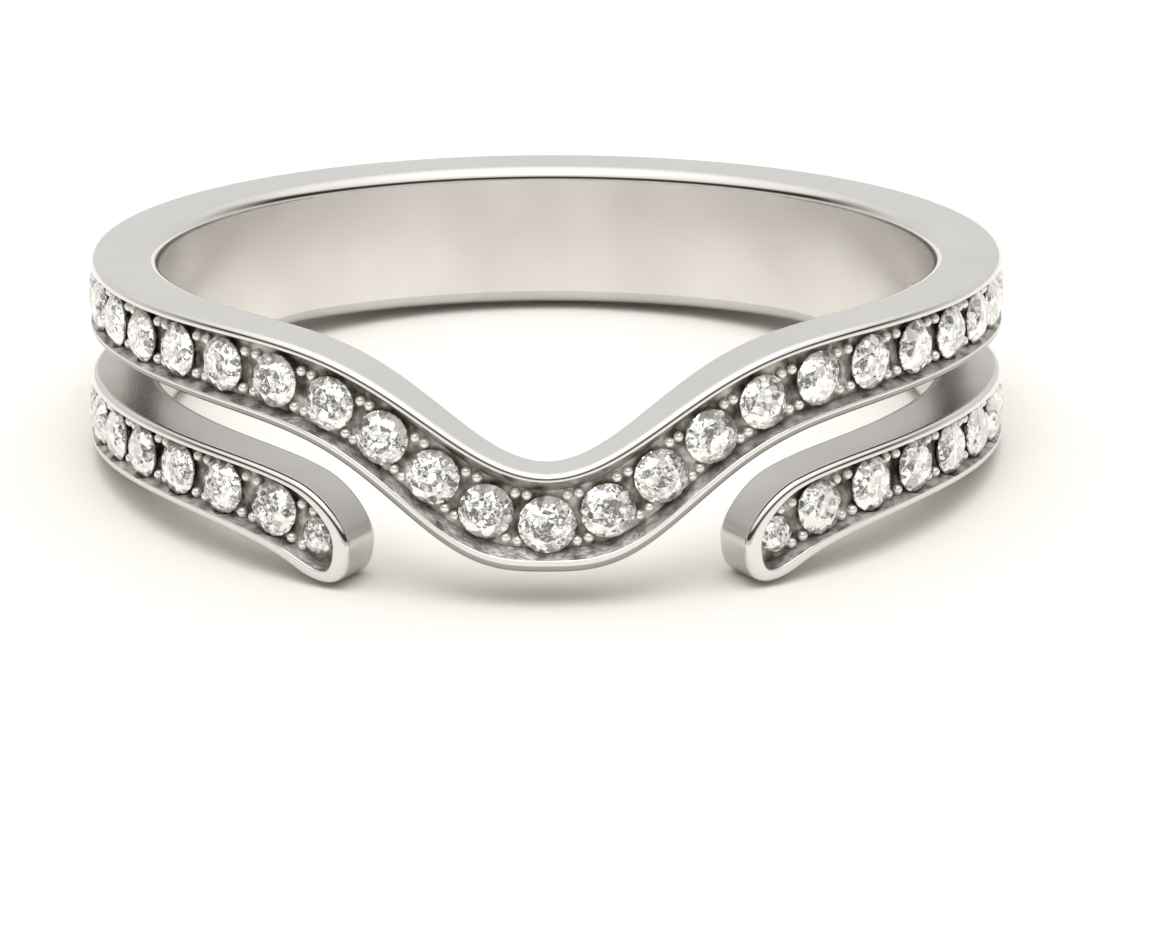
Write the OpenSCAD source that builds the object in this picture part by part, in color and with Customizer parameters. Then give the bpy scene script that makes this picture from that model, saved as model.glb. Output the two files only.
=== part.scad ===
// Ring guard: one cast band that parts into an upper band, which dips at the front,
// and two lower arms that stop short of the middle. Bead-set round stones line its
// front half. It rests as it lies on a table: on both arm tips and the back of the shank.

/* [Ring] */
// Inner diameter of the ring, where the finger goes through
bore_d = 17.3; // [17.3:0.1:19]
// Wall thickness from the bore to the outer face
wall = 1.53; // [1.45:0.01:2]
// Rounding of the outer edges
edge_r = 0.15; // [0.05:0.05:0.15]
// Rounding of the inner edges, for comfort on the finger
inner_edge_r = 0.3; // [0.05:0.05:0.4]

/* [Upper band] */
// How far the front of the upper band dips below its flat top
dip_drop = 2.7; // [2:0.05:3.1]
// Angle from the front at which the dip has risen to half its depth
dip_half_deg = 16.6; // [16.4:0.2:20]
// Shape of the dip: 2 is a bell, more is squarer
dip_power = 1.95; // [1.7:0.05:2]
// Width of the upper band at the sides
side_w = 1.64; // [1.5:0.02:1.8]
// Width of the upper band at the middle of the dip
front_w = 2.19; // [2:0.01:2.4]
// Angle at which the front's extra width has faded out
front_fade_deg = 78; // [60:1:84]

/* [Guard arms] */
// Open gap between the upper band and an arm
arm_gap = 0.96; // [0.7:0.02:1.2]
// Width of an arm at the side of the ring
arm_w = 1.62; // [1.5:0.02:1.8]
// Extra width of an arm towards its tip
arm_swell = 0.66; // [0.3:0.02:0.9]
// Angle at which the extra width of an arm has faded out
arm_fade_deg = 60; // [50:1:70]
// Angle from the front at which an arm ends
tip_deg = 25.2; // [23:0.2:27]
// Angle over which an arm's tip is rounded
tip_turn_deg = 7.8; // [6:0.2:10]
// Height of the middle of an arm's tip, below the flat top
tip_z = 4.57; // [4.3:0.01:4.9]
// Angle from the front at which the gap closes
gap_end_deg = 110; // [106:1:118]

/* [Back of the shank] */
// Width of the plain shank at the back
back_w = 3.2; // [3:0.05:4]
// Angle from the front at which the shank starts to narrow
narrow_from_deg = 88; // [80:1:95]
// Angle from the front at which the shank has its back width
narrow_to_deg = 143; // [135:1:160]

/* [Stone rows] */
// Diameter of the round stones
stone_d = 1.22; // [1:0.02:1.22]
// Diameter of the front stone, at the bottom of the dip
front_stone_d = 1.28; // [1:0.02:1.32]
// Diameter of the small stone in each arm's tip
tip_stone_d = 0.8; // [0.7:0.02:0.9]
// Spacing of the stones at the middle of the dip
front_pitch = 1.37; // [1.37:0.01:1.5]
// Spacing of the stones at the sides and on the arms
side_pitch = 1.57; // [1.57:0.01:1.6]
// How far the front stone sits below the middle of its channel
row_drop = 0.09; // [0:0.01:0.12]
// Space between a tip stone and the next stone
tip_space = 0.26; // [0.2:0.02:0.34]
// Stones on each side of the front stone
side_stones = 11; // [6:1:11]
// Stones on each arm behind the tip stone
arm_stones = 7; // [4:1:7]
// Width of the plain rails beside the stones
rail_w = 0.19; // [0.19:0.01:0.24]
// Width of the rail below the front stone
front_rail_w = 0.27; // [0.2:0.01:0.32]
// Width of the plain metal at the end of an arm
end_rail_w = 0.38; // [0.3:0.02:0.44]
// Depth of the sunk channel that the stones sit in
channel_depth = 0.32; // [0.26:0.02:0.36]
// How much narrower the channel is at its floor, on each side
channel_slope = 0.12; // [0.08:0.01:0.16]
// The same at the front, where its walls slope more
front_slope = 0.24; // [0.12:0.01:0.28]
// Diameter of the beads that hold the stones, four to each gap between two stones
bead_d = 0.24; // [0.2:0.01:0.24]
// Distance of the beads from the middle line of their row
bead_spread = 0.42; // [0.42:0.01:0.46]
// The same at the front, where the channel is wider
front_bead_spread = 0.52; // [0.52:0.01:0.56]
// Free space between a stone and the metal
seat_gap = 0.02; // [0.01:0.005:0.04]

/* [Hidden] */

$fn = 128;
seat_fn = 48;
bead_fn = 24;
bore_r = bore_d / 2;
outer_r = bore_r + wall;
mm_per_deg = PI / 180 * outer_r;
// The floor of the sunk channel
floor_r = outer_r - channel_depth;

white_gold = [0.86, 0.85, 0.83];
clear_stone = [0.93, 0.95, 0.97];

// Spacing of the sections round the ring, in degrees, close together over the front
front_step = 2.5;
front_to_deg = 60;
side_step = 6;
section_margin_deg = 2;
// Steps of the turn round the gap's end and round an arm's tip. The tip's first section
// stops short of 90, where the arm would have no height.
gap_turn_step = 15;
tip_turn_step = 8;
tip_turn_from = 88;
// How far the rough metal stands past the bore and the outer face before it is trimmed
overreach = 0.05;
// How far the trimming tube stands above and below the metal
tube_spare = 1;
// Behind the gap the band and the arms run into each other, so far and from so soon
merge_depth = 0.35;
merge_deg = 1;
// How far the channel's cutter stands out of the face
cutter_lift = 0.1;
// Angles at which the stones have reached their side pitch and the middle of the channel
full_pitch_deg = 45;
row_drop_deg = 20;
// Angles at which the lower rail and the channel's walls have their width at the sides
front_rail_deg = 78;
front_slope_deg = 30;
// Span, in degrees, over which the slope of a row is read to place its next stone
row_span = 6;
// Height of a bead's middle above the channel's floor
bead_lift = 0.04;
// Free space between a bead and its stone
bead_gap = 0.01;
// Metal left between an arm's end and the seat of its tip stone, beside the rail
end_spare = 0.04;

// Stone proportions, as parts of the stone's diameter
table_part = 0.57;
crown_part = 0.15;
girdle_part = 0.03;
pavilion_part = 0.43;
// Ring of points half way down the pavilion, as a part of its radius
lower_ring_part = 0.24;
// The girdle's depth below the outer face
girdle_depth = 0.2;
// Seat of a stone: radius at its foot, and height of its straight upper part
seat_foot_r = 0.05;
seat_h = 1;

function bell(t, end) = t < end ? (1 + cos(180 * t / end)) / 2 : 0;
function ease(u) = u <= 0 ? 0 : u >= 1 ? 1 : (1 - cos(180 * u)) / 2;
function quarter(u) = u <= 0 ? 0 : 1 - sqrt(max(0, 1 - u * u));

// Heights of the edges at the angle t from the front, measured from the flat top.
// A tilt is how much longer a sloping edge is than its run round the ring.
function tilt(z0, z1, span) = sqrt(1 + pow((z1 - z0) / (span * mm_per_deg), 2));
function top_z(t) = -dip_drop * exp(-ln(2) * pow(abs(t) / dip_half_deg, dip_power));
function top_tilt(t) = tilt(top_z(t - 0.5), top_z(t + 0.5), 1);
function band_bottom_z(t) =
    top_z(t) - (side_w + (front_w - side_w) * bell(abs(t), front_fade_deg)) * top_tilt(t);
function band_tilt(t) = tilt(band_bottom_z(t - 0.5), band_bottom_z(t + 0.5), 1);
function arm_top_line(t) = band_bottom_z(t) - arm_gap * band_tilt(t);
function arm_tilt(t) = tilt(arm_top_line(t - 0.5), arm_top_line(t + 0.5), 1);
function arm_bottom_line(t) =
    arm_top_line(t) - (arm_w + arm_swell * bell(abs(t), arm_fade_deg)) * arm_tilt(t);
function narrowing(t) = ease((t - narrow_from_deg) / (narrow_to_deg - narrow_from_deg));

// The gap ends in a half round, gap_turn degrees long, and an arm in a rounded tip
gap_turn = arm_gap / 2 / mm_per_deg;
tip_round_deg = tip_deg + tip_turn_deg;
function gap_closing(t) = arm_gap / 2 * quarter((t - gap_end_deg + gap_turn) / gap_turn);
function tip_rounding(t) = quarter((tip_round_deg - t) / tip_turn_deg);

function band_low(t) =
    t > gap_end_deg + merge_deg
        ? arm_top_line(t) - merge_depth
        : band_bottom_z(t) - gap_closing(min(t, gap_end_deg));
function arm_high(t) =
    t > gap_end_deg + merge_deg
        ? band_bottom_z(t) + merge_depth
        : arm_top_line(t) - (arm_top_line(tip_deg) + tip_z) * tip_rounding(t)
            + gap_closing(min(t, gap_end_deg));
function arm_low(t) =
    arm_bottom_line(t) - (arm_bottom_line(tip_deg) + tip_z) * tip_rounding(t)
        + (-back_w - arm_bottom_line(t)) * narrowing(t);

// Angles of the sections on one half of the ring
back_from_deg = gap_end_deg + 2 * section_margin_deg;
back_spans = ceil((180 - back_from_deg) / side_step);
back_step = (180 - back_from_deg) / back_spans;
side_and_back_angles = concat(
    [for (a = [front_to_deg + side_step:side_step:gap_end_deg - gap_turn - section_margin_deg]) a],
    [for (a = [0:gap_turn_step:90]) gap_end_deg - gap_turn + gap_turn * sin(a)],
    [for (k = [0:back_spans]) back_from_deg + k * back_step]
);
half_band_angles = concat(
    [for (a = [0:front_step:front_to_deg]) a],
    side_and_back_angles
);
half_arm_angles = concat(
    [for (a = [tip_turn_from:-tip_turn_step:1]) tip_round_deg - tip_turn_deg * sin(a)],
    [for (a = [tip_round_deg:front_step:front_to_deg]) a],
    side_and_back_angles
);

// An outline point is [angle, z]; its normal points out of the metal, on the unrolled face
function unit(v) = v / norm(v);
function turned(step, side) = unit([-side * step[1], side * step[0]]);
function inset(p, n, d) = [p[0] - n[0] * d / mm_per_deg, p[1] - n[1] * d];
function along(points, i) =
    let (a = points[max(0, i - 1)], b = points[min(len(points) - 1, i + 1)])
    [(b[0] - a[0]) * mm_per_deg, b[1] - a[1]];

// One edge of a section, rounded in two flats: [angle, radius, z] from the face inwards
function edge(p, n, r, out, rounding) =
    let (middle = (1 - cos(45)) * rounding, reach = rounding + overreach * tan(67.5))
    [
        for (s = [[reach, -overreach], [middle, middle], [0, rounding]])
            let (q = inset(p, n, s[0])) [q[0], r - out * s[1], q[1]]
    ];
function flipped(list) = [for (i = [len(list) - 1:-1:0]) list[i]];
function section(top, top_n, low, low_n) = concat(
    edge(top, top_n, outer_r, 1, edge_r),
    flipped(edge(top, top_n, bore_r, -1, inner_edge_r)),
    edge(low, low_n, bore_r, -1, inner_edge_r),
    flipped(edge(low, low_n, outer_r, 1, edge_r))
);
function sections(tops, lows) = [
    for (i = [0:len(tops) - 1])
        section(tops[i], turned(along(tops, i), 1), lows[i], turned(along(lows, i), -1))
];

function mirrored(column) = [for (p = column) [-p[0], p[1], p[2]]];
function in_space(p) = [p[1] * sin(p[0]), -p[1] * cos(p[0]), p[2]];

// A solid through a row of sections with the same number of points each
module sheath(columns, closed = false) {
    n = len(columns[0]);
    count = len(columns);
    half = n / 2;
    spans = closed ? count : count - 1;
    sides = [
        for (i = [0:spans - 1], k = [0:n - 1])
            let (
                a = i * n + k,
                b = i * n + (k + 1) % n,
                c = (i + 1) % count * n + (k + 1) % n,
                d = (i + 1) % count * n + k
            )
            each [[a, b, c], [a, c, d]]
    ];
    first = [
        for (k = [0:half - 2])
            each [[k, n - 1 - k, k + 1], [k + 1, n - 1 - k, n - 2 - k]]
    ];
    last = [
        for (f = first) [for (v = flipped(f)) v + (count - 1) * n]
    ];
    polyhedron(
        points = [for (column = columns, p = column) in_space(p)],
        faces = closed ? sides : concat(sides, first, last)
    );
}

// The closed upper band
band_half = sections(
    [for (t = half_band_angles) [t, top_z(t)]],
    [for (t = half_band_angles) [t, band_low(t)]]
);
module upper_band() {
    left = [for (i = [len(band_half) - 2:-1:1]) mirrored(band_half[i])];
    sheath(concat(band_half, left), closed = true);
}

// Both arms and the back of the shank, from tip to tip the long way round
arm_half = sections(
    [for (t = half_arm_angles) [t, arm_high(t)]],
    [for (t = half_arm_angles) [t, arm_low(t)]]
);
module arms() {
    left = [for (i = [len(arm_half) - 2:-1:0]) mirrored(arm_half[i])];
    sheath(concat(arm_half, left));
}

// The lower rail is wider at the front, which lifts the middle of the channel
function low_rail(t) = rail_w + (front_rail_w - rail_w) * bell(abs(t), front_rail_deg);
function row_lift(t) = (low_rail(t) - rail_w) / 2;

// Places of the stones: each next one is a pitch further along its row's line
function band_mid(t) =
    (top_z(t) + band_bottom_z(t)) / 2 + row_lift(t) * top_tilt(t)
        - row_drop * bell(abs(t), row_drop_deg);
function arm_mid(t) = (arm_high(t) + arm_low(t)) / 2 + row_lift(t);
function pitch(t) = front_pitch + (side_pitch - front_pitch) * ease(t / full_pitch_deg);
function band_step(t) = pitch(t) / mm_per_deg / tilt(band_mid(t), band_mid(t + row_span), row_span);
function arm_step(t, along_row) =
    along_row / mm_per_deg / tilt(arm_mid(t), arm_mid(t + row_span), row_span);
tip_pitch = (tip_stone_d + stone_d) / 2 + tip_space;
tip_stone_deg =
    tip_deg + (end_rail_w + end_spare + seat_gap + tip_stone_d / 2) / mm_per_deg;
function band_stone_deg(i) =
    i == 0 ? 0 : let (t = band_stone_deg(i - 1)) t + band_step(t);
function arm_stone_deg(i) =
    i == 0
        ? tip_stone_deg
        : let (t = arm_stone_deg(i - 1)) t + arm_step(t, i == 1 ? tip_pitch : side_pitch);

// Width of the rail along an edge with the normal n; end is the extra width where the
// edge turns round an arm's end
end_extra = end_rail_w - (rail_w + front_rail_w) / 2;
function rail(t, n, end) =
    low_rail(t) + (rail_w - low_rail(t)) * (1 + n[1]) / 2 + end * n[0] * n[0];
function slope(t) = channel_slope + (front_slope - channel_slope) * bell(abs(t), front_slope_deg);

// A sunk channel with sloping walls, between two rails
function groove(top, top_n, low, low_n, end) =
    let (
        overcut = slope(top[0]) * cutter_lift / channel_depth,
        up = rail(top[0], top_n, end),
        down = rail(low[0], low_n, end),
        up_out = inset(top, top_n, up - overcut),
        up_in = inset(top, top_n, up + slope(top[0])),
        down_in = inset(low, low_n, down + slope(low[0])),
        down_out = inset(low, low_n, down - overcut)
    )
    [
        [up_out[0], outer_r + cutter_lift, up_out[1]],
        [up_in[0], floor_r, up_in[1]],
        [down_in[0], floor_r, down_in[1]],
        [down_out[0], outer_r + cutter_lift, down_out[1]]
    ];
function grooves(tops, lows, end) = [
    for (i = [0:len(tops) - 1])
        groove(tops[i], turned(along(tops, i), 1), lows[i], turned(along(lows, i), -1), end)
];
// Its sections stop just past the last stone
stone_end_deg = (stone_d / 2 + channel_slope + seat_gap) / mm_per_deg;
function channel_angles(angles, end_deg) =
    concat([for (t = angles) if (t < end_deg - section_margin_deg) t], [end_deg]);

module band_channel() {
    angles = channel_angles(half_band_angles, band_stone_deg(side_stones) + stone_end_deg);
    right = grooves(
        [for (t = angles) [t, top_z(t)]],
        [for (t = angles) [t, band_bottom_z(t)]],
        0
    );
    left = [for (i = [len(right) - 1:-1:1]) mirrored(right[i])];
    sheath(concat(left, right));
}

module arm_channel() {
    angles = channel_angles(half_arm_angles, arm_stone_deg(arm_stones) + stone_end_deg);
    sheath(grooves(
        [for (t = angles) [t, arm_high(t)]],
        [for (t = angles) [t, arm_low(t)]],
        end_extra
    ));
}

// Puts a child on the outer face, its +Z pointing out, its origin at the radius r
module on_face(t, z, r) {
    rotate([0, 0, t]) translate([0, -r, z]) rotate([90, 0, 0]) children();
}

// Round brilliant cut, girdle bottom at z = 0 and table up
module brilliant(d) {
    r = d / 2;
    girdle = girdle_part * d;
    crown = crown_part * d;
    pavilion = pavilion_part * d;
    half_facet = 22.5;
    table_r = table_part * r;
    star_r = (r + table_r * cos(half_facet)) / 2;
    star_z = girdle + crown * (r - star_r * cos(half_facet)) / (r - table_r);
    low_r = lower_ring_part * r;
    low_z = -pavilion * (r - low_r * cos(half_facet)) / r;
    function ring_of(n, radius, z, first = 0) =
        [for (k = [0:n - 1]) let (a = first + 360 * k / n) [radius * cos(a), radius * sin(a), z]];
    points = concat(
        ring_of(8, table_r, girdle + crown),
        ring_of(8, star_r, star_z, half_facet),
        ring_of(16, r, girdle),
        ring_of(16, r, 0),
        ring_of(8, low_r, low_z, half_facet),
        [[0, 0, -pavilion]]
    );
    star = 8;
    upper = 16;
    lower = 32;
    low = 48;
    culet = 56;
    faces = concat(
        [[for (k = [7:-1:0]) k]],
        [for (k = [0:7]) [k, (k + 1) % 8, star + k]],
        [for (k = [0:7]) each [
            [k, star + k, upper + 2 * k],
            [k, upper + 2 * k, star + (k + 7) % 8],
            [star + k, upper + 2 * k + 1, upper + 2 * k],
            [star + k, upper + (2 * k + 2) % 16, upper + 2 * k + 1]
        ]],
        [for (k = [0:15]) each [
            [upper + k, upper + (k + 1) % 16, lower + k],
            [upper + (k + 1) % 16, lower + (k + 1) % 16, lower + k]
        ]],
        [for (k = [0:7]) each [
            [culet, lower + 2 * k, low + k],
            [culet, low + (k + 7) % 8, lower + 2 * k],
            [low + k, lower + 2 * k, lower + 2 * k + 1],
            [low + k, lower + 2 * k + 1, lower + (2 * k + 2) % 16]
        ]]
    );
    polyhedron(points = points, faces = faces);
}

// Room for a stone: its pavilion's cone and its girdle, up past the outer face
module seat(d) {
    r = d / 2 + seat_gap;
    deep = pavilion_part * d + seat_gap;
    rotate_extrude($fn = seat_fn)
        polygon([[0, -deep], [seat_foot_r, -deep], [r, 0], [r, seat_h], [0, seat_h]]);
}

// Puts a child at a stone's place: i counts from the front stone, to the left below zero
module at_band_stone(i) {
    t = band_stone_deg(abs(i));
    on_face(sign(i) * t, band_mid(t), outer_r - girdle_depth) children();
}
// Here i counts from the tip stone of the left arm, side -1, or of the right arm, side 1
module at_arm_stone(side, i) {
    t = arm_stone_deg(i);
    on_face(side * t, arm_mid(t), outer_r - girdle_depth) children();
}
function band_stone_d(i) = i == 0 ? front_stone_d : stone_d;
function arm_stone_d(i) = i == 0 ? tip_stone_d : stone_d;

module stone_seats() {
    for (i = [-side_stones:side_stones]) at_band_stone(i) seat(band_stone_d(i));
    for (side = [-1, 1], i = [0:arm_stones]) at_arm_stone(side, i) seat(arm_stone_d(i));
}

// A bead: a ball that stands partly out of the channel's floor
module bead() {
    translate([0, 0, bead_lift]) sphere(d = bead_d, $fn = bead_fn);
}

// Two beads beside a stone of the diameter d, across its row, on the side of the next one
module bead_pair(from, to, d) {
    gap = [(to[0] - from[0]) * mm_per_deg, to[1] - from[1]];
    reach = (d + bead_d) / 2 + bead_gap;
    across = bead_spread + (front_bead_spread - bead_spread) * bell(from[0], front_slope_deg);
    ahead = unit(gap) * sqrt(reach * reach - across * across);
    aside = unit([-gap[1], gap[0]]) * across;
    for (side = [-1, 1]) {
        shift = ahead + side * aside;
        on_face(from[0] + shift[0] / mm_per_deg, from[1] + shift[1], floor_r) bead();
    }
}

module beads() {
    rows = [
        [for (i = [0:side_stones]) let (t = band_stone_deg(i)) [t, band_mid(t), band_stone_d(i)]],
        [for (i = [0:arm_stones]) let (t = arm_stone_deg(i)) [t, arm_mid(t), arm_stone_d(i)]]
    ];
    for (row = rows, i = [1:len(row) - 1], m = [0, 1]) mirror([m, 0, 0]) {
        bead_pair(row[i - 1], row[i], row[i - 1][2]);
        bead_pair(row[i], row[i - 1], row[i][2]);
    }
}

// The space between the bore and the outer face, over the height of the metal
module wall_tube() {
    low = min([for (t = half_arm_angles) arm_low(t)]) - tube_spare;
    translate([0, 0, low]) difference() {
        cylinder(r = outer_r, h = tube_spare - low);
        translate([0, 0, -tube_spare]) cylinder(r = bore_r, h = 3 * tube_spare - low);
    }
}

// Rest pose: the lowest points of the tips and of the back share one level
rest_lean = max([
    for (t = half_arm_angles)
        if (t < 90)
            atan((-arm_low(t) - back_w) / (outer_r - edge_r + (bore_r + inner_edge_r) * cos(t)))
]);
rest_height = back_w * cos(rest_lean) + (outer_r - edge_r) * sin(rest_lean);
front_y = -outer_r * cos(rest_lean) + (band_bottom_z(0) + edge_r) * sin(rest_lean);
back_y = outer_r * cos(rest_lean) - edge_r * sin(rest_lean);
module at_rest() {
    translate([0, -(front_y + back_y) / 2, rest_height]) rotate([-rest_lean, 0, 0]) children();
}

module band() {
    color(white_gold) at_rest() {
        difference() {
            intersection() {
                union() {
                    upper_band();
                    arms();
                }
                wall_tube();
            }
            band_channel();
            arm_channel();
            mirror([1, 0, 0]) arm_channel();
            stone_seats();
        }
        beads();
    }
}
module band_stone(i) {
    color(clear_stone) at_rest() at_band_stone(i) brilliant(band_stone_d(i));
}
module arm_stone(side, i) {
    color(clear_stone) at_rest() at_arm_stone(side, i) brilliant(arm_stone_d(i));
}

band();
band_stone(0);  // front_stone
for (i = [1:side_stones]) {
    band_stone(-i);
    band_stone(i);
}
for (i = [1:arm_stones]) {
    arm_stone(-1, i);
    arm_stone(1, i);
}
arm_stone(-1, 0);  // arm_left_tip_stone
arm_stone(1, 0);  // arm_right_tip_stone
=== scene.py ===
"""The looks of the ring guard: polished white gold with bead-set round stones, on a pale floor."""

from math import ceil, cos, pi, radians, sin

import bpy
import numpy as np
from mathutils import Matrix, Vector
from mathutils.geometry import delaunay_2d_cdt
from mathutils.kdtree import KDTree


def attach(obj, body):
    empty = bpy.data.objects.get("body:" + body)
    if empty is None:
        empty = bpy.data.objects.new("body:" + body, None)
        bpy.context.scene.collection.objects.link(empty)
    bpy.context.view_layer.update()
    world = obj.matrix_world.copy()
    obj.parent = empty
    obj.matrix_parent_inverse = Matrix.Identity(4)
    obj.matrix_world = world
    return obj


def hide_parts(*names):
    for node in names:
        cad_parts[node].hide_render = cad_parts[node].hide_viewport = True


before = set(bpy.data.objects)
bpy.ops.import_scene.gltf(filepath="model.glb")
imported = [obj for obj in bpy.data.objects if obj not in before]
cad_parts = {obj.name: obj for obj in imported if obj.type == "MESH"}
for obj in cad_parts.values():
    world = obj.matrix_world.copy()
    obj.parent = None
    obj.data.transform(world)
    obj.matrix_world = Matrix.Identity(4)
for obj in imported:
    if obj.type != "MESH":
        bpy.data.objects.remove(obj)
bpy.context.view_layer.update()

MM = 0.001
# Side of the floor, in metres
FLOOR_SIDE = 6.0

# Sizes of the ring in millimetres and degrees, the same as the part's own
BORE_R = 8.65
WALL = 1.53
OUTER_R = BORE_R + WALL
EDGE_R = 0.15
INNER_EDGE_R = 0.3
DIP_DROP = 2.7
DIP_HALF_DEG = 16.6
DIP_POWER = 1.95
SIDE_W = 1.64
FRONT_W = 2.19
FRONT_FADE_DEG = 78
ARM_GAP = 0.96
ARM_W = 1.62
ARM_SWELL = 0.66
ARM_FADE_DEG = 60
TIP_DEG = 25.2
TIP_TURN_DEG = 7.8
TIP_ROUND_DEG = TIP_DEG + TIP_TURN_DEG
TIP_Z = 4.57
GAP_END_DEG = 110
BACK_W = 3.2
NARROW_FROM_DEG = 88
NARROW_TO_DEG = 143
STONE_D = 1.22
FRONT_STONE_D = 1.28
TIP_STONE_D = 0.8
FRONT_PITCH = 1.37
SIDE_PITCH = 1.57
FULL_PITCH_DEG = 45
ROW_DROP = 0.09
ROW_DROP_DEG = 20
TIP_SPACE = 0.26
SIDE_STONES = 11
ARM_STONES = 7
RAIL_W = 0.19
FRONT_RAIL_W = 0.27
FRONT_RAIL_DEG = 78
END_RAIL_W = 0.38
CHANNEL_DEPTH = 0.32
CHANNEL_SLOPE = 0.12
FRONT_SLOPE = 0.24
FRONT_SLOPE_DEG = 30
BEAD_D = 0.24
BEAD_SPREAD = 0.42
FRONT_BEAD_SPREAD = 0.52
BEAD_LIFT = 0.04
BEAD_GAP = 0.01
END_SPARE = 0.04
SEAT_GAP = 0.02
GIRDLE_DEPTH = 0.2
PAVILION = 0.43

# Rounding of the rails' inner edges
RAIL_EDGE = 0.03
RAIL_EDGE_STEPS = 3
# Points to each side over which a channel's corners are evened out
CORNER_POINTS = 2
# How near to the band's bottom line the lower outline counts as the underside of the band
UNDER_BAND = 0.05
# Run, in degrees, over which the slope of a row of stones is measured
ROW_SPAN = 6.0
# Steps of a bead from foot to top, and its sides
BEAD_STEPS = 12
BEAD_SIDES = 24
# Sides of a seat, the radius of its foot and the height of its straight upper part
SEAT_SIDES = 48
SEAT_FOOT_R = 0.05
SEAT_H = 1
# Spacing of the outlines' points, and in degrees that of the lines they are taken from
STEP = 0.11
DENSE_DEG = 0.1
# Points on the turns round an arm's tip and round a gap's end, and steps of an edge's rounding
TIP_POINTS = 120
GAP_POINTS = 60
EDGE_STEPS = 5
# Spacing, in degrees, of the places on the arms at which the lean is measured
LEAN_STEP_DEG = 0.05
# A vertex of the cut mesh this near to a point of the metal is that point
SAME_POINT = 1e-3
# Folds over this angle stay sharp
SHARP_DEG = 35
# A corner takes its point's exact normal if its face departs from that by less than this angle
EXACT_DEG = 40
# A corner this near to a cylinder's radius takes the cylinder's normal, if its face departs from
# that by less than this angle
ON_CYLINDER = 2e-3
CYLINDER_DEG = 12
# How far the cells of a stone turn its surface
STONE_TURN = 0.45
MM_PER_DEG = pi / 180 * OUTER_R
HALF_ROUND = 180 * MM_PER_DEG


def bell(t, end):
    return np.where(t < end, (1 + np.cos(np.pi * t / end)) / 2, 0.0)


def ease(u):
    return (1 - np.cos(np.pi * np.clip(u, 0, 1))) / 2


def tilt(line, t, span=1.0, ahead=False):
    """How much longer a sloping line is than its run round the ring."""
    first, last = (t, t + span) if ahead else (t - span / 2, t + span / 2)
    return np.sqrt(1 + ((line(last) - line(first)) / (span * MM_PER_DEG)) ** 2)


def top_z(t):
    return -DIP_DROP * np.exp(-np.log(2) * (np.abs(t) / DIP_HALF_DEG) ** DIP_POWER)


def band_bottom_z(t):
    width = SIDE_W + (FRONT_W - SIDE_W) * bell(np.abs(t), FRONT_FADE_DEG)
    return top_z(t) - width * tilt(top_z, t)


def arm_top_z(t):
    return band_bottom_z(t) - ARM_GAP * tilt(band_bottom_z, t)


def arm_bottom_z(t):
    return arm_top_z(t) - (ARM_W + ARM_SWELL * bell(np.abs(t), ARM_FADE_DEG)) * tilt(arm_top_z, t)


def tip_rounding(t):
    u = np.clip((TIP_ROUND_DEG - t) / TIP_TURN_DEG, 0, 1)
    return 1 - np.sqrt(1 - u * u)


def arm_high(t):
    return arm_top_z(t) - (arm_top_z(TIP_DEG) + TIP_Z) * tip_rounding(t)


def arm_low(t):
    low = arm_bottom_z(t)
    narrowing = ease((t - NARROW_FROM_DEG) / (NARROW_TO_DEG - NARROW_FROM_DEG))
    return low - (arm_bottom_z(TIP_DEG) + TIP_Z) * tip_rounding(t) + (-BACK_W - low) * narrowing


def low_rail(t):
    return RAIL_W + (FRONT_RAIL_W - RAIL_W) * bell(np.abs(t), FRONT_RAIL_DEG)


def row_lift(t):
    return (low_rail(t) - RAIL_W) / 2


def slope(t):
    return CHANNEL_SLOPE + (FRONT_SLOPE - CHANNEL_SLOPE) * bell(np.abs(t), FRONT_SLOPE_DEG)


def band_mid(t):
    middle = (top_z(t) + band_bottom_z(t)) / 2 + row_lift(t) * tilt(top_z, t)
    return middle - ROW_DROP * bell(np.abs(t), ROW_DROP_DEG)


def arm_mid(t):
    return (arm_high(t) + arm_low(t)) / 2 + row_lift(t)


def band_stones():
    """Angles of the front stone and those on one side of it."""
    places = [0.0]
    for _ in range(SIDE_STONES):
        t = places[-1]
        pitch = FRONT_PITCH + (SIDE_PITCH - FRONT_PITCH) * ease(t / FULL_PITCH_DEG)
        places.append(t + pitch / MM_PER_DEG / float(tilt(band_mid, t, ROW_SPAN, True)))
    return places


def arm_stones():
    """Angles of the tip stone and the stones behind it."""
    places = [TIP_DEG + (END_RAIL_W + END_SPARE + SEAT_GAP + TIP_STONE_D / 2) / MM_PER_DEG]
    for i in range(ARM_STONES):
        t = places[-1]
        pitch = (TIP_STONE_D + STONE_D) / 2 + TIP_SPACE if i == 0 else SIDE_PITCH
        places.append(t + pitch / MM_PER_DEG / float(tilt(arm_mid, t, ROW_SPAN, True)))
    return places


BAND_STONES = band_stones()
ARM_STONE_PLACES = arm_stones()
STONE_END_DEG = (STONE_D / 2 + CHANNEL_SLOPE + SEAT_GAP) / MM_PER_DEG
BAND_PAVE_END = BAND_STONES[-1] + STONE_END_DEG
ARM_PAVE_END = ARM_STONE_PLACES[-1] + STONE_END_DEG


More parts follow.
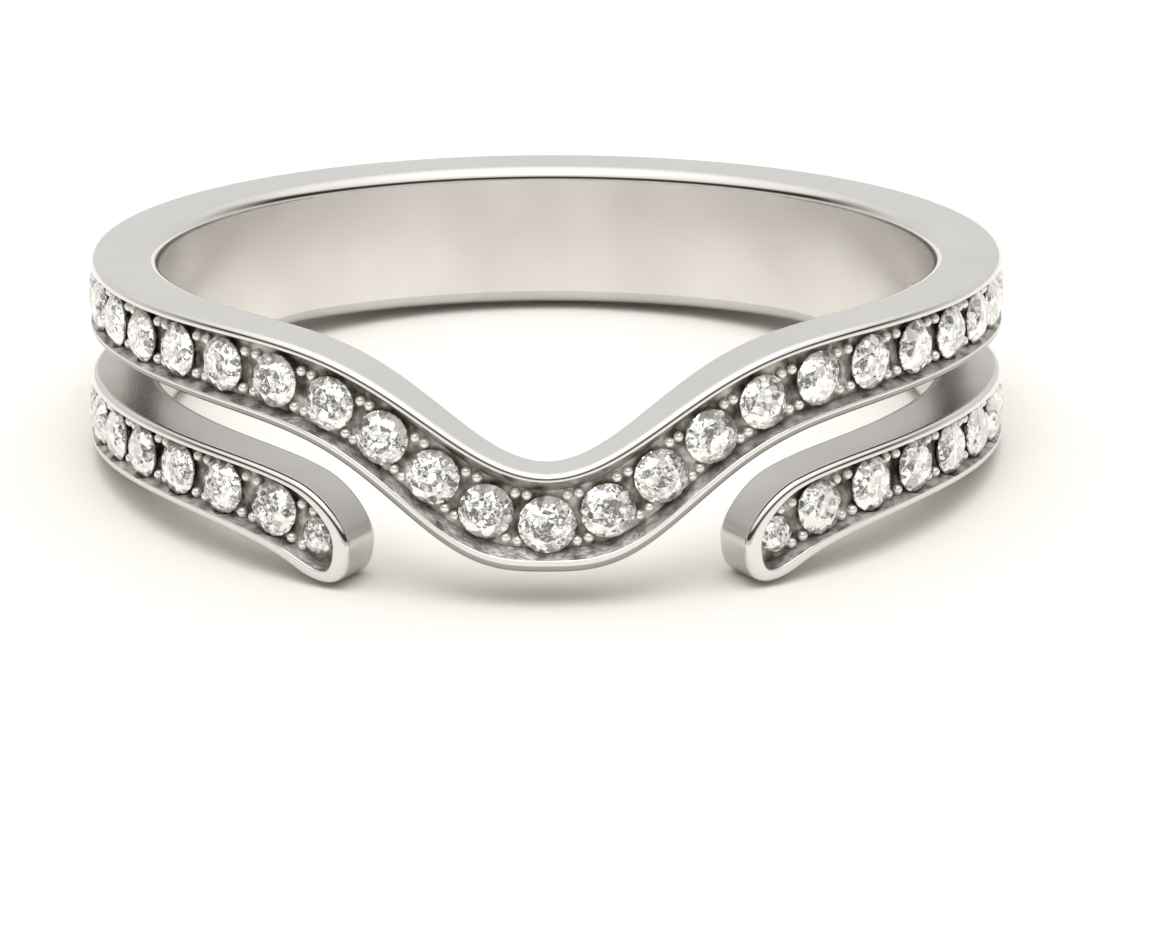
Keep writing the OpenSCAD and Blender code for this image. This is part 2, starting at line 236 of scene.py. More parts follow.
def rest_pose():
    """Turns the ring's own frame, in millimetres, to where it rests, in metres."""
    t = np.arange(TIP_DEG, 90, LEAN_STEP_DEG)
    reach = OUTER_R - EDGE_R + (BORE_R + INNER_EDGE_R) * np.cos(np.radians(t))
    lean = float(np.arctan((-arm_low(t) - BACK_W) / reach).max())
    height = BACK_W * cos(lean) + (OUTER_R - EDGE_R) * sin(lean)
    front = -OUTER_R * cos(lean) + (float(band_bottom_z(0.0)) + EDGE_R) * sin(lean)
    back = OUTER_R * cos(lean) - EDGE_R * sin(lean)
    place = Matrix.Translation((0, -(front + back) / 2 * MM, height * MM))
    return place @ Matrix.Rotation(-lean, 4, "X") @ Matrix.Scale(MM, 4)


REST = rest_pose()


def wrapped(s, r, z):
    """Points of the unrolled face, s round the ring and z up, at the radius r."""
    a = np.asarray(s) / MM_PER_DEG * pi / 180
    r = np.broadcast_to(r, a.shape)
    return np.stack([r * np.sin(a), -r * np.cos(a), np.broadcast_to(z, a.shape)], -1)


def line_of(z_of, angles):
    return np.stack([np.asarray(angles) * MM_PER_DEG, z_of(np.asarray(angles))], -1)


def mirrored(points):
    return points[::-1] * (-1, 1)


def degrees_between(first, last):
    return np.linspace(first, last, max(2, ceil(abs(last - first) / DENSE_DEG)))


def spaced(points):
    """The same line with its points evenly spaced."""
    along = np.r_[0, np.cumsum(np.linalg.norm(np.diff(points, axis=0), axis=1))]
    keep = np.r_[True, np.diff(along) > 1e-9]
    points, along = points[keep], along[keep]
    at = np.linspace(0, along[-1], max(2, round(along[-1] / STEP)) + 1)
    return np.stack([np.interp(at, along, points[:, k]) for k in (0, 1)], -1)


def outward(loop, closed=True):
    """Unit normals on the right of the line: out of the metal, which lies on its left."""
    if closed:
        along = np.roll(loop, -1, 0) - np.roll(loop, 1, 0)
    else:
        along = np.gradient(loop, axis=0)
    n = np.stack([along[:, 1], -along[:, 0]], -1)
    return n / np.linalg.norm(n, axis=1, keepdims=True)


def arm_outline(back_deg):
    """Top of the right arm from back_deg to the tip, round it, and its bottom to back_deg."""
    turn = np.radians(np.linspace(0, 90, TIP_POINTS))
    tip = TIP_ROUND_DEG - TIP_TURN_DEG * np.sin(turn)
    return np.concatenate([
        line_of(arm_high, degrees_between(back_deg, TIP_ROUND_DEG)),
        line_of(arm_high, tip[1:-1]),
        [[TIP_DEG * MM_PER_DEG, -TIP_Z]],
        line_of(arm_low, tip[-2::-1]),
        line_of(arm_low, degrees_between(TIP_ROUND_DEG, back_deg))[1:],
    ])


def lower_outline():
    """Bottom of the upper band, the gaps, the arms and the shank: one line from back to back."""
    gap_centre = GAP_END_DEG - ARM_GAP / 2 / MM_PER_DEG
    turn = np.radians(np.linspace(90, -90, GAP_POINTS))
    mid = float(band_bottom_z(gap_centre) + arm_top_z(gap_centre)) / 2
    gap_end = np.stack([gap_centre * MM_PER_DEG + ARM_GAP / 2 * np.cos(turn),
                        mid + ARM_GAP / 2 * np.sin(turn)], -1)
    arm = arm_outline(gap_centre)
    right = np.concatenate([
        line_of(band_bottom_z, degrees_between(0, gap_centre))[:-1],
        gap_end[:-1],
        arm,
        line_of(arm_low, degrees_between(gap_centre, 180))[1:],
    ])
    whole = np.concatenate([mirrored(right)[:-1], right])
    return spaced(whole)


def upper_outline():
    """The top edge, travelled from the back to the back with the metal on the left."""
    return spaced(line_of(top_z, degrees_between(180, -180)))


# Material slots: polished faces, the channel's walls, its floor and the seats, satin faces,
# the bore, and the rounded underside of the upper band; all but the polished faces and the bore
# carry painted shade
POLISHED_FACE = 0
WALL = 1
FLOOR = 2
SATIN_SHADE_FACE = 3
BORE_FACE = 4
UNDER_FACE = 5


class Metal:
    """Gathers the points, faces and exact normals of the metal's mesh, in the ring's own frame."""

    def __init__(self):
        self.points, self.normals, self.faces, self.kinds = [], [], [], []

    def add(self, points, normals):
        start = len(self.points)
        self.points.extend(points)
        self.normals.extend(normals)
        return np.arange(start, start + len(points))

    def strip(self, first, second, kinds):
        """Faces between two closed rows of points, seen from outside with first on the right.

        kinds is one material slot, or one for each face.
        """
        count = len(first)
        for i in range(count):
            j = (i + 1) % count
            self.faces.append((first[i], first[j], second[j], second[i]))
        self.kinds.extend(np.broadcast_to(kinds, count))

    def fill(self, loops, out, kind):
        """Triangles inside the outlines in loops, each [flat points, their indices].

        out is 1 on the outer face and -1 in the bore.
        """
        flat = [Vector(p) for points, _ in loops for p in points]
        index = [int(i) for _, indices in loops for i in indices]
        edges, start = [], 0
        for points, _ in loops:
            n = len(points)
            edges += [(start + i, start + (i + 1) % n) for i in range(n)]
            start += n
        found, _, triangles, origins, _, _ = delaunay_2d_cdt(flat, edges, [], 1, 1e-7)
        place = np.array([list(p) for p in found])
        index_of = [index[o[0]] if o else None for o in origins]
        ends = np.array([[list(flat[a]), list(flat[b])] for a, b in edges])
        triangles = [t for t in triangles if all(index_of[i] is not None for i in t)]
        centres = np.array([place[list(t)].mean(0) for t in triangles])
        for triangle, inside in zip(triangles, even_odd(centres, ends)):
            corners = [index_of[i] for i in triangle]
            if inside and len(set(corners)) == 3:
                self.faces.append(tuple(corners if out > 0 else corners[::-1]))
                self.kinds.append(kind)


def even_odd(points, ends):
    """Whether each point lies inside the outlines made of the line pieces in ends."""
    inside = np.zeros(len(points), bool)
    (x0, y0), (x1, y1) = ends[:, 0].T, ends[:, 1].T
    for i, (x, y) in enumerate(points):
        across = (y0 > y) != (y1 > y)
        at = x0[across] + (y - y0[across]) * (x1 - x0)[across] / (y1 - y0)[across]
        inside[i] = np.count_nonzero(at > x) % 2
    return inside


def edge_profile():
    """Columns of an edge from the outer face to the bore: [inset, radius, share out, share up]."""
    turn = [pi / 2 * k / EDGE_STEPS for k in range(EDGE_STEPS + 1)]
    outer = [(EDGE_R * (1 - sin(a)), OUTER_R - EDGE_R * (1 - cos(a)), cos(a), sin(a)) for a in turn]
    inner = [(INNER_EDGE_R * (1 - sin(a)), BORE_R + INNER_EDGE_R * (1 - cos(a)), -cos(a), sin(a))
             for a in turn]
    return outer + inner[::-1]


def space_normals(loop, out, radial, planar):
    a = loop[:, 0] / MM_PER_DEG * pi / 180
    away = np.stack([np.sin(a), -np.cos(a), 0 * a], -1)
    round_the_ring = np.stack([np.cos(a), np.sin(a), 0 * a], -1)
    flat = round_the_ring * out[:, :1] + np.outer(out[:, 1], (0, 0, 1))
    return away * np.reshape(radial, (-1, 1)) + flat * np.reshape(planar, (-1, 1))


def wall_of(metal, loop, kinds):
    """An edge all along one outline: kinds are its outer rounding's, its flat's and the inner's.

    Returns the line and the indices of its points, first on the outer face and then in the bore.
    """
    n = outward(loop, closed=False)
    n[0] = n[-1] = n[0] * (0, 1) / abs(n[0, 1])
    rows = []
    for inset, r, radial, planar in edge_profile():
        flat = loop - n * inset
        indices = metal.add(wrapped(flat[:-1, 0], r, flat[:-1, 1]),
                            space_normals(flat[:-1], n[:-1], radial, planar))
        rows.append((flat, np.r_[indices, indices[0]]))
    # the outer rounding's steps come first, then the flat between the roundings, then the inner's
    for k, ((_, first), (_, second)) in enumerate(zip(rows, rows[1:])):
        metal.strip(second[:-1], first[:-1], kinds[(k >= EDGE_STEPS) + (k > EDGE_STEPS)])
    return rows[0], rows[-1]


def channel_profile(foot):
    """Columns of a channel's wall from the face to the floor: [shift inwards, depth, angle].

    foot is the shift at the floor.
    """
    turn = np.pi / 2 - np.arctan2(foot, CHANNEL_DEPTH)
    columns = []
    for k in range(RAIL_EDGE_STEPS + 1):
        a = turn * k / RAIL_EDGE_STEPS
        columns.append((RAIL_EDGE * (np.sin(a) - 1), RAIL_EDGE * (1 - np.cos(a)), a))
    return columns + [(foot, CHANNEL_DEPTH, turn)]


def channel(metal, outline):
    """Sinks a channel inside a closed outline on the outer face. Returns its mouth for the face."""
    n = outward(outline)
    rows = []
    for shift, depth, a in channel_profile(slope(outline[:, 0] / MM_PER_DEG)):
        flat = outline - n * shift[:, None]
        points = wrapped(flat[:, 0], OUTER_R - depth, flat[:, 1])
        rows.append((flat, metal.add(points, space_normals(flat, n, np.cos(a), -np.sin(a)))))
    for k, ((_, first), (_, second)) in enumerate(zip(rows, rows[1:])):
        # The wall's material is painted dark as shade, and the floor's darker still
        metal.strip(first, second, WALL if k == len(rows) - 2 else POLISHED_FACE)
    metal.fill([rows[-1]], 1, FLOOR)
    return rows[0]


def rail_line(line, end_extra=0.0):
    """The inner edge of the rail beside a line: wider below the row, and round an arm's end."""
    n = outward(line, closed=False)
    low = low_rail(line[:, 0] / MM_PER_DEG)
    width = low + (RAIL_W - low) * (1 + n[:, 1]) / 2 + end_extra * n[:, 0] ** 2
    return line - n * width[:, None]


def closed_line(*lines):
    """A closed outline through the lines, evenly spaced, with rounded corners."""
    line = spaced(np.concatenate(lines + (lines[0][:1],)))[:-1]
    return np.mean([np.roll(line, k, 0) for k in range(-CORNER_POINTS, CORNER_POINTS + 1)], axis=0)


def band_channel_outline():
    low = line_of(band_bottom_z, degrees_between(-BAND_PAVE_END, BAND_PAVE_END))
    high = line_of(top_z, degrees_between(BAND_PAVE_END, -BAND_PAVE_END))
    return closed_line(rail_line(low), rail_line(high))


def arm_channel_outline(side):
    line = rail_line(arm_outline(ARM_PAVE_END), END_RAIL_W - (RAIL_W + FRONT_RAIL_W) / 2)
    return closed_line(line if side > 0 else mirrored(line))


def seam(metal, top, low, r):
    """Points between the two outlines along the back, where the unrolled face is cut."""
    z = np.linspace(top, low, ceil(abs(top - low) / STEP) + 1)[1:-1]
    s = np.full(len(z), HALF_ROUND)
    points = wrapped(s, r, z)
    return z, metal.add(points, np.zeros((len(z), 3)))


def sheet(metal, upper, lower, r, out, mouths, kind):
    """The cylinder's skin between the two outlines, with the channels' mouths left open."""
    (up_flat, up), (low_flat, low) = upper, lower
    z, side = seam(metal, up_flat[0, 1], low_flat[-1, 1], r)
    right = np.stack([np.full(len(z), HALF_ROUND), z], -1)
    # once round: bottom from left to right, up the right side, top back to the left, and down
    flat = np.concatenate([low_flat, right[::-1], up_flat, right * (-1, 1)])
    indices = np.concatenate([low, side[::-1], up, side])
    metal.fill([(flat, indices)] + mouths, out, kind)


def build_metal():
    metal = Metal()
    upper_face, upper_bore = wall_of(metal, upper_outline(), (POLISHED_FACE,) * 3)
    lower = lower_outline()
    # The underside of the upper band takes the darkest satin as painted shade, and the lower
    # outline's flats and inner rounding a lighter painted shade
    under_band = np.abs(lower[:-1, 1] - band_bottom_z(lower[:-1, 0] / MM_PER_DEG)) < UNDER_BAND
    outer_kinds = np.where(under_band, UNDER_FACE, POLISHED_FACE)
    lower_face, lower_bore = wall_of(metal, lower, (outer_kinds, SATIN_SHADE_FACE, SATIN_SHADE_FACE))
    mouths = [channel(metal, o) for o in
              (band_channel_outline(), arm_channel_outline(1), arm_channel_outline(-1))]
    sheet(metal, upper_face, lower_face, OUTER_R, 1, mouths, POLISHED_FACE)
    sheet(metal, upper_bore, lower_bore, BORE_R, -1, [], BORE_FACE)
    return metal


def on_face(t, z, r):
    """Frame on the outer face: +Z out, +X round the ring."""
    a = radians(t)
    turned = Matrix.Rotation(a, 4, "Z") @ Matrix.Translation((0, -r, z))
    return turned @ Matrix.Rotation(pi / 2, 4, "X")


def right_rows():
    """[angle, z, diameter] of the stones in the right half of the band, and in the right arm."""
    band = [(t, float(band_mid(t)), STONE_D if t else FRONT_STONE_D) for t in BAND_STONES]
    arm = [(t, float(arm_mid(t)), STONE_D if i else TIP_STONE_D)
           for i, t in enumerate(ARM_STONE_PLACES)]
    return band, arm


def stone_places():
    """[angle, z, diameter] of every stone."""
    band, arm = right_rows()
    return band + [(-t, z, d) for t, z, d in band[1:]] + arm + [(-t, z, d) for t, z, d in arm]


def beads_beside(start, end, d):
    """[angle, z] of the two beads beside a stone of the diameter d, on the side of the next."""
    gap = Vector(((end[0] - start[0]) * MM_PER_DEG, end[1] - start[1])).normalized()
    reach = (d + BEAD_D) / 2 + BEAD_GAP
    spread = FRONT_BEAD_SPREAD - BEAD_SPREAD
    across = BEAD_SPREAD + spread * float(bell(start[0], FRONT_SLOPE_DEG))
    ahead = gap * (reach * reach - across * across) ** 0.5
    for side in (-across, across):
        shift = ahead + side * Vector((-gap.y, gap.x))
        yield start[0] + shift.x / MM_PER_DEG, start[1] + shift.y


def bead_places():
    """[angle, z] of every bead: four in each gap between neighbouring stones."""
    places = []
    for row in right_rows():
        for one, other in zip(row, row[1:]):
            for t, z in (*beads_beside(one, other, one[2]), *beads_beside(other, one, other[2])):
                places += [(t, z), (-t, z)]
    return places


def revolved(profile, steps):
    """Closed solid from [radius, z] points, the first and last on the axis."""
    points = [(0, 0, profile[0][1])]
    for r, z in profile[1:-1]:
        points += [(r * cos(2 * pi * k / steps), r * sin(2 * pi * k / steps), z)
                   for k in range(steps)]
    points.append((0, 0, profile[-1][1]))
    faces = []
    for k in range(steps):
        j = (k + 1) % steps
        faces.append((0, 1 + j, 1 + k))
        for row in range(len(profile) - 3):
            a = 1 + row * steps
            faces.append((a + k, a + j, a + steps + j, a + steps + k))
        last = 1 + (len(profile) - 3) * steps
        faces.append((last + k, last + j, len(points) - 1))
    return points, faces


def joined(shapes, name):
    """One mesh object from [matrix, points, faces] shapes, in the ring's own frame."""
    points, faces = [], []
    for matrix, some_points, some_faces in shapes:
        start = len(points)
        points += [matrix @ Vector(p) for p in some_points]
        faces += [tuple(start + i for i in f) for f in some_faces]
    mesh = bpy.data.meshes.new(name)
    mesh.from_pydata(points, [], faces)
    obj = bpy.data.objects.new(name, mesh)
    bpy.context.scene.collection.objects.link(obj)
    return obj


def seat_cutters():
    shapes = []
    for t, z, d in stone_places():
        r = d / 2 + SEAT_GAP
        deep = PAVILION * d + SEAT_GAP
        profile = [(0, -deep), (SEAT_FOOT_R, -deep), (r, 0), (r, SEAT_H), (0, SEAT_H)]
        points, faces = revolved(profile, SEAT_SIDES)
        shapes.append((on_face(t, z, OUTER_R - GIRDLE_DEPTH), points, faces))
    return joined(shapes, "seat_cutters")


def smooth_metal(obj, metal):
    """Exact normals: radial on the faces and floors, and each edge's own on its rounding."""
    mesh = obj.data
    mesh.shade_smooth()
    mesh.set_sharp_from_angle(angle=radians(SHARP_DEG))
    count = len(mesh.loops)
    co = np.zeros(len(mesh.vertices) * 3)
    mesh.vertices.foreach_get("co", co)
    co = co.reshape(-1, 3)
    normals = np.zeros(count * 3)
    mesh.corner_normals.foreach_get("vector", normals)
    normals = normals.reshape(-1, 3)
    vertex = np.zeros(count, int)
    mesh.loops.foreach_get("vertex_index", vertex)
    sizes = np.zeros(len(mesh.polygons), int)
    mesh.polygons.foreach_get("loop_total", sizes)
    flat = np.zeros(len(mesh.polygons) * 3)
    mesh.polygons.foreach_get("normal", flat)
    flat = np.repeat(flat.reshape(-1, 3), sizes, axis=0)

    nearest = KDTree(len(metal.points))
    for index, point in enumerate(metal.points):
        nearest.insert(point, index)
    nearest.balance()
    exact = np.zeros((len(co), 3))
    for index, point in enumerate(co):
        _, source, distance = nearest.find(point)
        if distance < SAME_POINT:
            exact[index] = metal.normals[source]
    exact = exact[vertex]
    agrees = (exact * flat).sum(1) > cos(radians(EXACT_DEG))
    normals[agrees] = exact[agrees]

    at = co[vertex]
    r = np.hypot(at[:, 0], at[:, 1])
    radial = np.stack([at[:, 0] / r, at[:, 1] / r, 0 * r], -1)
    facing = (radial * flat).sum(1)
    for radius, side in ((OUTER_R, 1), (BORE_R, -1), (OUTER_R - CHANNEL_DEPTH, 1)):
        on = (np.abs(r - radius) < ON_CYLINDER) & (facing * side > cos(radians(CYLINDER_DEG)))
        normals[on] = radial[on] * side
    mesh.normals_split_custom_set(normals / np.linalg.norm(normals, axis=1, keepdims=True))


def to_rest(obj):
    """Moves a mesh made in the ring's own frame to where the ring rests."""
    mesh = obj.data
    corner = np.zeros(len(mesh.loops) * 3)
    mesh.corner_normals.foreach_get("vector", corner)
    mesh.transform(REST)
    turn = np.array(REST.to_3x3().normalized())
    mesh.normals_split_custom_set(corner.reshape(-1, 3) @ turn.T)
    return obj


def new_material(name):
    material = bpy.data.materials.new(name)
    material.use_nodes = True
    nodes, links = material.node_tree.nodes, material.node_tree.links
    return material, nodes, links, nodes["Principled BSDF"]


def noise(nodes, links, coords, scale, detail, kind="ShaderNodeTexNoise"):
    texture = nodes.new(kind)
    texture.inputs["Scale"].default_value = scale
    texture.inputs["Detail"].default_value = detail
    links.new(coords, texture.inputs["Vector"])
    return texture


def ranged(nodes, links, value, low, high, from_low=0.0, from_high=1.0):
    node = nodes.new("ShaderNodeMapRange")
    node.inputs["From Min"].default_value = from_low
    node.inputs["From Max"].default_value = from_high
    node.inputs["To Min"].default_value = low
    node.inputs["To Max"].default_value = high
    links.new(value, node.inputs["Value"])
    return node.outputs["Result"]


def coloured(nodes, links, value, stops):
    ramp = nodes.new("ShaderNodeValToRGB")
    while len(ramp.color_ramp.elements) < len(stops):
        ramp.color_ramp.elements.new(0.5)
    for element, (place, colour) in zip(ramp.color_ramp.elements, stops):
        element.position = place
        element.color = (*colour, 1)
    links.new(value, ramp.inputs["Fac"])
    return ramp.outputs["Color"]


def bumped(nodes, links, height, strength, distance):
    bump = nodes.new("ShaderNodeBump")
    bump.inputs["Strength"].default_value = strength
    bump.inputs["Distance"].default_value = distance
    links.new(height, bump.inputs["Height"])
    return bump.outputs["Normal"]


def white_gold(name, cloud, tint, smear, roughness, grain, bump, metallic=1):
    """A white gold whose cloud, smear and grain are noises, each [scale, detail].

    The cloud picks a colour from the stops in tint, the smear a roughness between two values, and
    the grain makes a bump of [strength, distance].
    """
    material, nodes, links, bsdf = new_material(name)
    coords = nodes.new("ShaderNodeTexCoord").outputs["Object"]
    cloud, smear, grain = (noise(nodes, links, coords, *sizes).outputs["Fac"]
                           for sizes in (cloud, smear, grain))
    links.new(coloured(nodes, links, cloud, tint), bsdf.inputs["Base Color"])
    links.new(ranged(nodes, links, smear, *roughness), bsdf.inputs["Roughness"])
    links.new(bumped(nodes, links, grain, *bump), bsdf.inputs["Normal"])
    bsdf.inputs["Metallic"].default_value = metallic
    return material


def satin_gold(name, tone):
    """Duller than the outside, and faintly streaked; a tone darker than the polished metal's is
    painted shade.
    """
    dark = [share * tone for share in (0.93, 0.905, 0.88)]
    pale = [share * tone for share in (1.07, 1.05, 1.025)]
    return white_gold(
        name, cloud=(320, 3), tint=[(0.3, dark), (0.7, pale)],
        smear=(900, 5), roughness=(0.2, 0.3), grain=(5000, 3), bump=(0.05, 0.00001))


def stone_material():
    """A clear cut stone: each small cell is a painted reflection of the room, bright or dark, and
    the palest glow as painted glints.
    """
    material, nodes, links, bsdf = new_material("clear_stone")
    coords = nodes.new("ShaderNodeTexCoord").outputs["Object"]
    cells = noise(nodes, links, coords, 5600, 3, "ShaderNodeTexVoronoi")
    pick = nodes.new("ShaderNodeSeparateColor")
    links.new(cells.outputs["Color"], pick.inputs["Color"])
    # Painted reflections: the cells' colours run from near black to white, as bright and dark parts
    # of the room thrown back
    tint = coloured(nodes, links, pick.outputs["Red"], [
        (0.0, (0.12, 0.12, 0.11)), (0.12, (0.2, 0.2, 0.19)), (0.2, (0.5, 0.5, 0.49)),
        (0.55, (0.64, 0.64, 0.63)), (0.7, (0.98, 0.98, 0.97))])
    links.new(tint, bsdf.inputs["Base Color"])
    # Painted glints: the middles of the palest cells glow, though the stone is no lamp
    painted_glint = nodes.new("ShaderNodeMath")
    painted_glint.operation = "MULTIPLY"
    links.new(ranged(nodes, links, cells.outputs["Distance"], 1, 0, 0.3, 0.5), painted_glint.inputs[0])
    links.new(ranged(nodes, links, pick.outputs["Red"], 0, 0.75, 0.6, 0.8), painted_glint.inputs[1])
    links.new(painted_glint.outputs[0], bsdf.inputs["Emission Strength"])
    bsdf.inputs["Emission Color"].default_value = (1, 1, 1, 1)
    turn = nodes.new("ShaderNodeVectorMath")
    turn.operation = "MULTIPLY_ADD"
    links.new(cells.outputs["Color"], turn.inputs[0])
    turn.inputs[1].default_value = (STONE_TURN, STONE_TURN, STONE_TURN)
    turn.inputs[2].default_value = (-STONE_TURN / 2, -STONE_TURN / 2, -STONE_TURN / 2)
    add = nodes.new("ShaderNodeVectorMath")
    links.new(nodes.new("ShaderNodeNewGeometry").outputs["Normal"], add.inputs[0])
    links.new(turn.outputs[0], add.inputs[1])
    unit = nodes.new("ShaderNodeVectorMath")
    unit.operation = "NORMALIZE"
    links.new(add.outputs[0], unit.inputs[0])
    links.new(unit.outputs[0], bsdf.inputs["Normal"])
    links.new(ranged(nodes, links, cells.outputs["Distance"], 0.04, 0.12), bsdf.inputs["Roughness"])
    bsdf.inputs["Metallic"].default_value = 0.8
    bsdf.inputs["Coat Weight"].default_value = 0.3
    bsdf.inputs["Coat Roughness"].default_value = 0.02
    return material


# Faint cloudy colour, and the fine uneven gloss of hand polishing
POLISHED = white_gold(
    "polished_white_gold", cloud=(260, 3),
    tint=[(0.3, (0.72, 0.71, 0.69)), (0.7, (0.78, 0.77, 0.755))],
    smear=(900, 5), roughness=(0.05, 0.13), grain=(6000, 2), bump=(0.03, 0.00001))
# The channel's walls, cut bright with a graver: fine tool marks, pale and dark by turns, on a tone
# painted dark as the channel's shade
BRIGHT_CUT_AND_SHADE = white_gold(
    "bright_cut_painted_shade_white_gold", cloud=(2600, 3),
    tint=[(0.32, (0.12, 0.105, 0.09)), (0.46, (0.36, 0.34, 0.32)), (0.7, (0.66, 0.645, 0.625))],
    smear=(9000, 4), roughness=(0.28, 0.5), grain=(9000, 4), bump=(0.8, 0.00004), metallic=0.6)
# The channel's floor and the seats: rough hollows between the stones, painted dark as their shade,
# and darker still in blotches
PAINTED_SHADE_HOLLOW = white_gold(
    "hollow_painted_shade_white_gold", cloud=(2400, 2),
    tint=[(0.36, (0.07, 0.055, 0.045)), (0.5, (0.26, 0.235, 0.21)), (0.66, (0.62, 0.60, 0.57))],
    smear=(7000, 4), roughness=(0.3, 0.55), grain=(7000, 4), bump=(0.7, 0.00004), metallic=0.7)
# The faces of the arms and the gap, the bore, and the underside of the upper band: the faces and
# the underside are darker copies, as painted shade
SATIN_SHADE = satin_gold("satin_painted_shade_white_gold", 0.57)
BORE = satin_gold("bore_white_gold", 0.76)
SHADED_UNDERSIDE = satin_gold("underside_painted_shade_white_gold", 0.35)
# The beads, pushed up and rounded by hand: softly bright, not mirrors, in a paler copy of the metal
# whose whiteness is painted sheen
BEAD = white_gold(
    "bead_painted_sheen_white_gold", cloud=(4200, 2),
    tint=[(0.35, (0.88, 0.86, 0.83)), (0.6, (1.0, 0.99, 0.97))],
    smear=(4200, 2), roughness=(0.2, 0.34), grain=(4200, 2), bump=(0.3, 0.00003), metallic=0.6)
STONE = stone_material()


def make_band():
    """The metal as one smooth solid, with a seat cut for every stone."""
    metal = build_metal()
    mesh = bpy.data.meshes.new("ring_metal")
    faces = [tuple(int(i) for i in f) for f in metal.faces]
    mesh.from_pydata([tuple(p) for p in metal.points], [], faces)
    obj = bpy.data.objects.new("ring_metal", mesh)
    bpy.context.scene.collection.objects.link(obj)
    mesh.polygons.foreach_set("material_index", np.array(metal.kinds, np.int32))
    cutters = seat_cutters()
    # The seats take the floor's material, painted dark as shade
    cutters.data.polygons.foreach_set(
        "material_index", np.full(len(cutters.data.polygons), FLOOR, np.int32))
    for one in (mesh, cutters.data):
        for material in (POLISHED, BRIGHT_CUT_AND_SHADE, PAINTED_SHADE_HOLLOW, SATIN_SHADE, BORE, SHADED_UNDERSIDE):
            one.materials.append(material)
    modifier = obj.modifiers.new("seats", "BOOLEAN")
    modifier.operation = "DIFFERENCE"
    modifier.solver = "MANIFOLD"
    modifier.object = cutters
    depsgraph = bpy.context.evaluated_depsgraph_get()
    cut_mesh = bpy.data.meshes.new_from_object(obj.evaluated_get(depsgraph))
    obj.modifiers.clear()
    obj.data = cut_mesh
    bpy.data.objects.remove(cutters)
    print("metal:", len(mesh.polygons), "faces,", len(cut_mesh.polygons), "after the seats are cut")
    smooth_metal(obj, metal)
    return to_rest(obj)


def make_beads():
    """The beads between the stones: balls that stand partly out of the channel's floor."""
    r = BEAD_D / 2
    arc = [pi * k / BEAD_STEPS - pi / 2 for k in range(BEAD_STEPS + 1)]
    points, faces = revolved([(r * cos(a), r * sin(a)) for a in arc], BEAD_SIDES)
    middle = OUTER_R - CHANNEL_DEPTH + BEAD_LIFT
    obj = joined([(on_face(t, z, middle), points, faces) for t, z in bead_places()], "beads")
    obj.data.materials.append(BEAD)
    obj.data.shade_smooth()
    return to_rest(obj)


band = make_band()
beads = make_beads()
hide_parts("band")
for piece in (band, beads):
    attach(piece, "root")

for name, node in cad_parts.items():
    if name != "band":
        node.data.materials.clear()
        node.data.materials.append(STONE)
        node.data.shade_flat()


def make_floor():
    half = FLOOR_SIDE / 2
    mesh = bpy.data.meshes.new("floor")
    corners = [(-half, -half, 0), (half, -half, 0), (half, half, 0), (-half, half, 0)]
    mesh.from_pydata(corners, [], [(0, 1, 2, 3)])
    floor = bpy.data.objects.new("floor", mesh)
    bpy.context.scene.collection.objects.link(floor)
    material, _, _, bsdf = new_material("pale_floor")
    bsdf.inputs["Base Color"].default_value = (0.96, 0.93, 0.885, 1)
    bsdf.inputs["Roughness"].default_value = 0.9
    mesh.materials.append(material)


def make_light(name, place, size, power, colour):
    """A round area light that looks at the ring."""
    light = bpy.data.lights.new(name, "AREA")
    light.shape = "DISK"
    light.size = size
    light.energy = power
    light.color = colour
    obj = bpy.data.objects.new(name, light)
    obj.location = place
    obj.rotation_euler = (-Vector(place)).to_track_quat("-Z", "Y").to_euler()
    bpy.context.scene.collection.objects.link(obj)


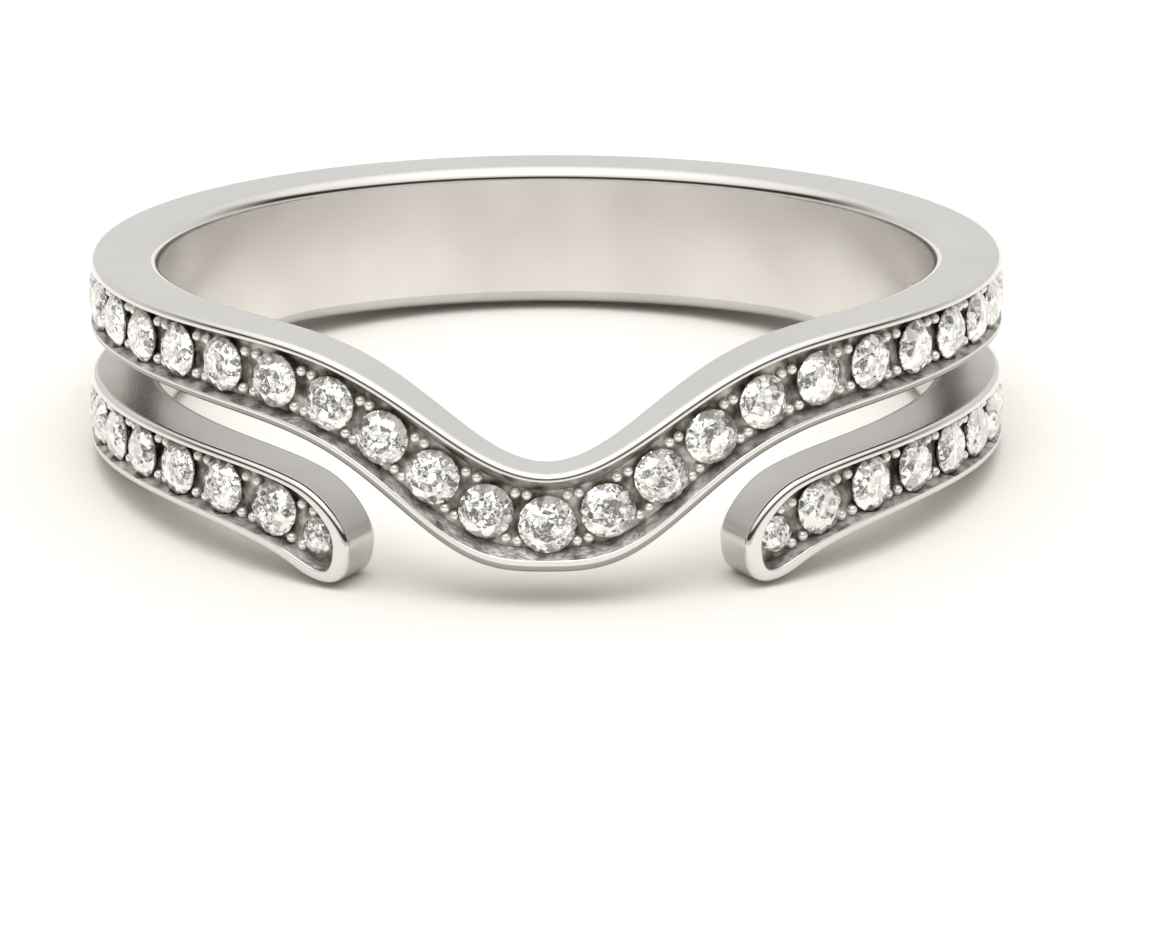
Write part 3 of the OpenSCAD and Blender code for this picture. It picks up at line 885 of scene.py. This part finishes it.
def make_world():
    """Soft studio surroundings: bright overhead, a dark belt over a pale horizon, paler behind."""
    world = bpy.data.worlds.new("studio")
    world.use_nodes = True
    nodes, links = world.node_tree.nodes, world.node_tree.links
    coords = nodes.new("ShaderNodeTexCoord").outputs["Generated"]
    split = nodes.new("ShaderNodeSeparateXYZ")
    links.new(coords, split.inputs["Vector"])
    front = coloured(nodes, links, split.outputs["Z"], [
        (0.0, (0.78, 0.75, 0.71)), (0.16, (0.70, 0.67, 0.63)), (0.27, (0.05, 0.045, 0.04)),
        (0.48, (0.05, 0.045, 0.04)), (0.62, (1.0, 0.985, 0.965)), (1.0, (1.45, 1.43, 1.4))])
    behind = coloured(nodes, links, split.outputs["Z"], [
        (0.0, (0.80, 0.79, 0.77)), (0.3, (0.82, 0.81, 0.79)), (0.6, (1.0, 0.985, 0.965)),
        (1.0, (1.45, 1.43, 1.4))])
    mix = nodes.new("ShaderNodeMix")
    mix.data_type = "RGBA"
    links.new(ranged(nodes, links, split.outputs["Y"], 0, 1, 0.1, 0.7), mix.inputs["Factor"])
    links.new(front, mix.inputs["A"])
    links.new(behind, mix.inputs["B"])
    background = nodes["Background"]
    links.new(mix.outputs["Result"], background.inputs["Color"])
    background.inputs["Strength"].default_value = 1.0
    bpy.context.scene.world = world


# The camera stands 300 mm from the middle of the ring's flat top, 12.6 degrees above that plane
CAMERA_DISTANCE = 300
CAMERA_ABOVE_DEG = 12.623
CAMERA_ROLL_DEG = -0.156
# Scale of the picture at that point, its size, and where the point is in it
PX_PER_MM = 44.792
FRAME_W, FRAME_H = 1152, 928
TOP_CENTRE_PX = (546.9, 250.15)
# Width of the camera's sensor, which sets only the unit of its lens
SENSOR_W = 36


def make_camera():
    top_centre = REST @ Vector((0, 0, 0))
    lean = REST.to_euler().x
    up_angle = radians(CAMERA_ABOVE_DEG) - lean
    back = Vector((0, -cos(up_angle), sin(up_angle)))
    right = Vector((1, 0, 0))
    up = back.cross(right)
    place = top_centre + back * CAMERA_DISTANCE * MM
    off = right * (FRAME_W / 2 - TOP_CENTRE_PX[0]) - up * (FRAME_H / 2 - TOP_CENTRE_PX[1])
    aim = top_centre + off * MM / PX_PER_MM
    camera = bpy.data.cameras.new("camera")
    camera.sensor_width = SENSOR_W
    camera.lens = SENSOR_W * PX_PER_MM * CAMERA_DISTANCE / FRAME_W
    camera.clip_start = 0.01
    camera.clip_end = 20
    obj = bpy.data.objects.new("camera", camera)
    obj.location = place
    facing = (aim - place).to_track_quat("-Z", "Y").to_matrix().to_4x4()
    obj.rotation_euler = (facing @ Matrix.Rotation(radians(CAMERA_ROLL_DEG), 4, "Z")).to_euler()
    bpy.context.scene.collection.objects.link(obj)
    bpy.context.scene.camera = obj


make_floor()
make_world()
make_light("overhead", (0.0, -0.14, 0.5), 0.4, 0.85, (0.96, 0.98, 1.0))
make_camera()
bpy.context.scene.view_settings.view_transform = "Standard"
